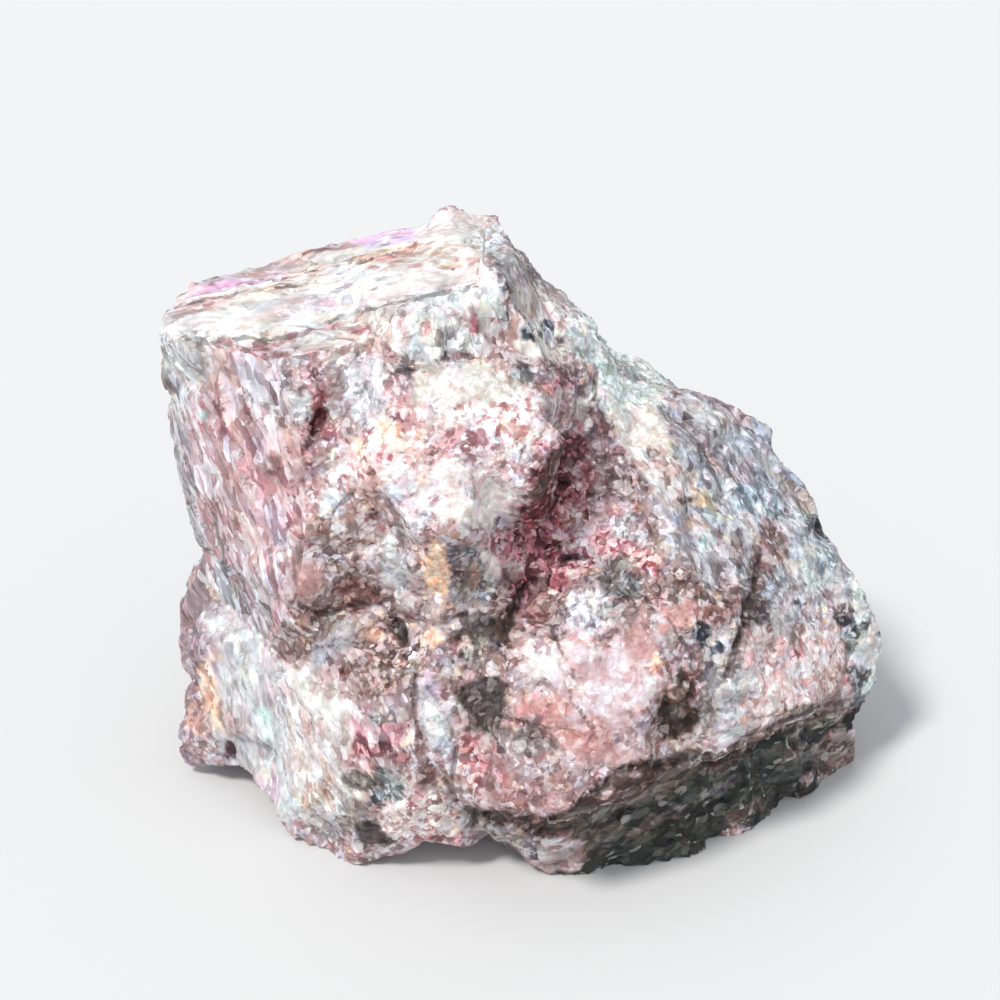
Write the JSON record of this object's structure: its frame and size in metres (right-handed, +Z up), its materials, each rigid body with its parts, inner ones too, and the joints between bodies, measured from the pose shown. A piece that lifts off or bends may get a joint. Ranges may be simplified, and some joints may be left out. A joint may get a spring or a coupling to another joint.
{
  "type": "dolomite and malachite mineral specimen",
  "caption": "Rough fist-shaped lump of pink and grey dolomite with malachite tints: a flat pale cap, a deep crimson pocket, a rounded pink brow and an overhanging ledge.",
  "frame": {"origin": "on the surface that the stone lies on, under the middle of its bounding box", "axes": "+Z up, -Y towards the viewer of the face with the pocket and the brow, +X along the stone's length to the low right end"},
  "size_m": [0.0516, 0.0406, 0.0406],
  "materials": {
    "dolomite": "rough granular break"
  },
  "bodies": {
    "root": {"dolomite_stone": "dolomite"}
  },
  "joints": []
}
